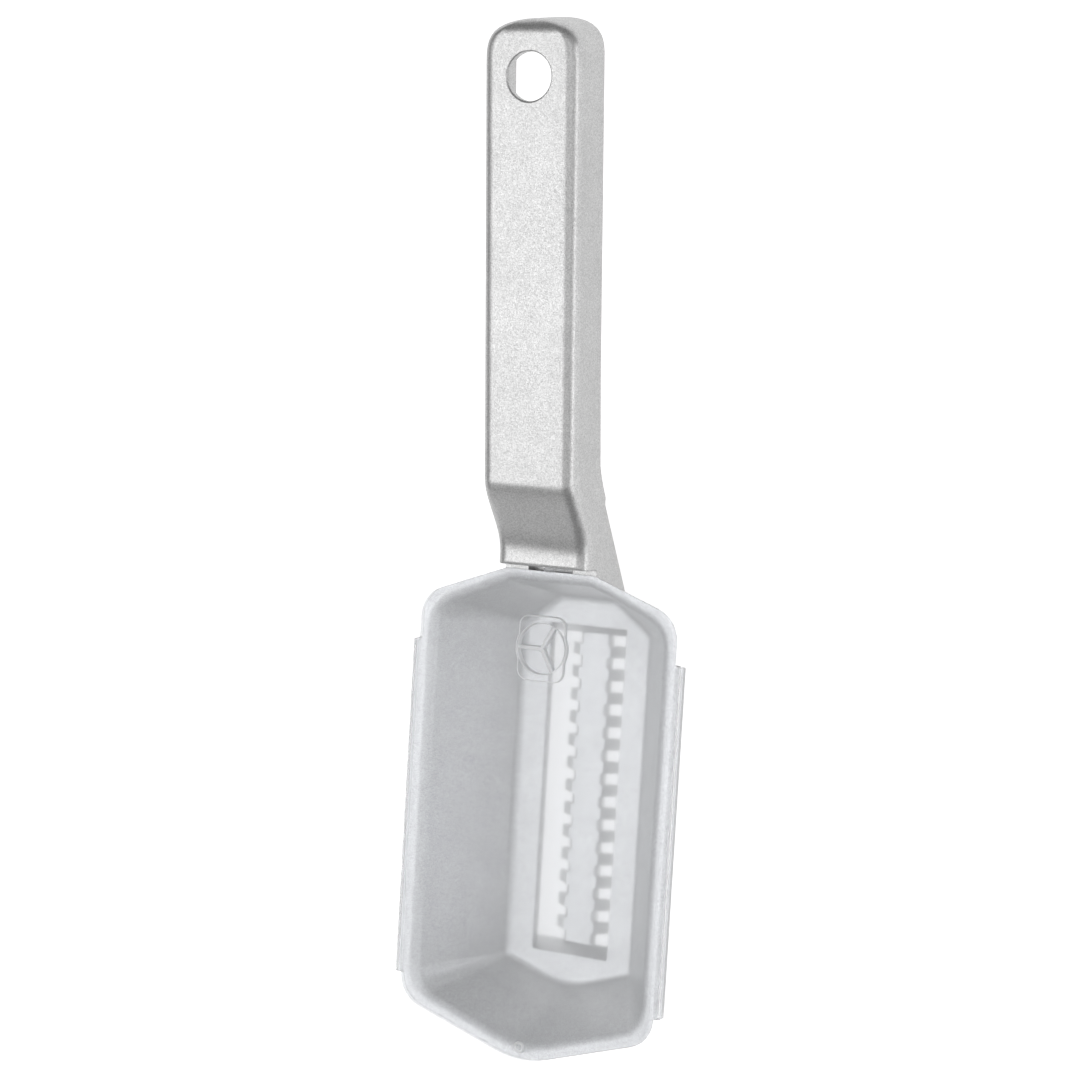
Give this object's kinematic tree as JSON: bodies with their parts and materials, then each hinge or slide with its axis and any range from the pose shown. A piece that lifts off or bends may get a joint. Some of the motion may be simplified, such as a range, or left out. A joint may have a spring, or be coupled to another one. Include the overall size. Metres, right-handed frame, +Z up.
{
  "type": "hand fish scaler",
  "caption": "Hand fish scaler: cast handle and scale tray in one piece, a toothed bar under the tray and a translucent sliding cover.",
  "frame": {"origin": "centre of the bounding box's bottom face, on the plane that the teeth stand on", "axes": "+Z up, from the teeth to the cover; +Y along the handle, from the tip of the tray to the handle's end; X across"},
  "size_m": [0.0646, 0.223, 0.0531],
  "materials": {
    "casting": "cast, coated, satin with a fine sparkle",
    "cover": "moulded, translucent, frosted"
  },
  "bodies": {
    "casting": {"cast_body": "casting"},
    "cover": {"sliding_cover": "cover"}
  },
  "joints": [
    {"name": "cover_slide", "type": "slide", "parent": "casting", "child": "cover", "axis": [0, -1, 0], "range_m": [0, 0.065]}
  ]
}
